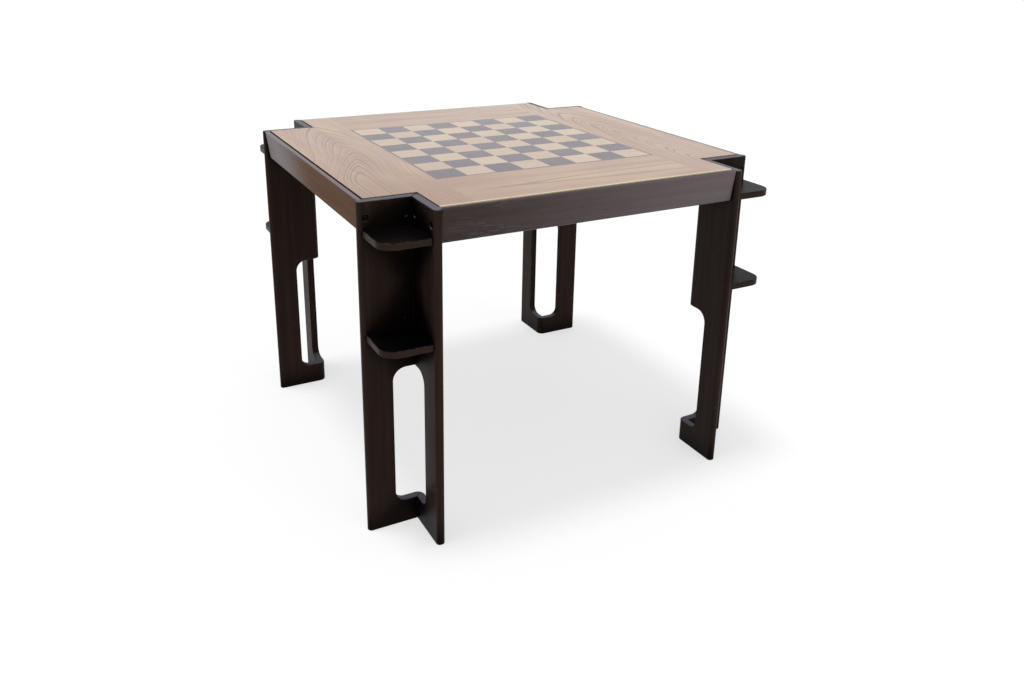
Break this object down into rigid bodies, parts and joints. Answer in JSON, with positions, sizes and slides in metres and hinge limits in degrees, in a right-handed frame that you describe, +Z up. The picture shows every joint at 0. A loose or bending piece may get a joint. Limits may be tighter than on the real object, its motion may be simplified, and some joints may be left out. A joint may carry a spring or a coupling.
{
  "type": "chess table",
  "caption": "Square game table with an inlaid chessboard top that lifts out, on corner legs of slotted mitred boards with small shelves for drinks and captured pieces.",
  "frame": {"origin": "on the floor under the middle of the table", "axes": "+Z up, +X to the right along the near side of the table, +Y from the near side to the far side"},
  "size_m": [0.95, 0.95, 0.7215],
  "materials": {
    "frame_lacquer": "near-black brown stain under satin-gloss lacquer, faint straight grain",
    "plain_beech": "bare beech, unseen",
    "bolt_steel": "blackened socket-head bolts",
    "panel_core": "wood fibreboard, unseen",
    "backing_veneer": "plain backing veneer",
    "field_veneer": "open-grained ash veneer with cathedral figure, satin lacquer",
    "border_veneer": "narrow red-brown inlay line, satin lacquer",
    "light_square_veneer": "pale cream veneer squares, satin lacquer",
    "dark_square_veneer": "dark brown veneer squares, satin lacquer",
    "light_lipping": "cream solid-wood lipping",
    "dark_lipping": "dark brown solid-wood lipping"
  },
  "bodies": {
    "frame": {"near_left_leg_board_x": "frame_lacquer", "near_left_leg_board_y": "frame_lacquer", "near_left_leg_upper_spline": "plain_beech", "near_left_leg_upper_shelf": "frame_lacquer", "near_left_leg_lower_spline": "plain_beech", "near_left_leg_lower_shelf": "frame_lacquer", "near_right_leg_board_x": "frame_lacquer", "near_right_leg_board_y": "frame_lacquer", "near_right_leg_upper_spline": "plain_beech", "near_right_leg_upper_shelf": "frame_lacquer", "near_right_leg_lower_spline": "plain_beech", "near_right_leg_lower_shelf": "frame_lacquer", "far_left_leg_board_x": "frame_lacquer", "far_left_leg_board_y": "frame_lacquer", "far_left_leg_upper_spline": "plain_beech", "far_left_leg_upper_shelf": "frame_lacquer", "far_left_leg_lower_spline": "plain_beech", "far_left_leg_lower_shelf": "frame_lacquer", "far_right_leg_board_x": "frame_lacquer", "far_right_leg_board_y": "frame_lacquer", "far_right_leg_upper_spline": "plain_beech", "far_right_leg_upper_shelf": "frame_lacquer", "far_right_leg_lower_spline": "plain_beech", "far_right_leg_lower_shelf": "frame_lacquer", "near_rail": "frame_lacquer", "near_bearer": "frame_lacquer", "far_rail": "frame_lacquer", "far_bearer": "frame_lacquer", "left_rail": "frame_lacquer", "left_bearer": "frame_lacquer", "right_rail": "frame_lacquer", "right_bearer": "frame_lacquer", "frame_bolts": "bolt_steel", "rail_dowels": "plain_beech", "bearer_dowels": "plain_beech", "shelf_dowels": "plain_beech"},
    "top_panel": {"panel_core": "panel_core", "backing_veneer": "backing_veneer", "near_field": "field_veneer", "far_field": "field_veneer", "left_field": "field_veneer", "right_field": "field_veneer", "board_border": "border_veneer", "light_squares": "light_square_veneer", "dark_squares": "dark_square_veneer", "near_lipping": "light_lipping", "far_lipping": "light_lipping", "left_lipping": "dark_lipping", "right_lipping": "dark_lipping"}
  },
  "joints": [
    {"name": "top_lift", "type": "slide", "parent": "frame", "child": "top_panel", "axis": [0, 0, 1], "range_m": [0, 0.12]}
  ]
}
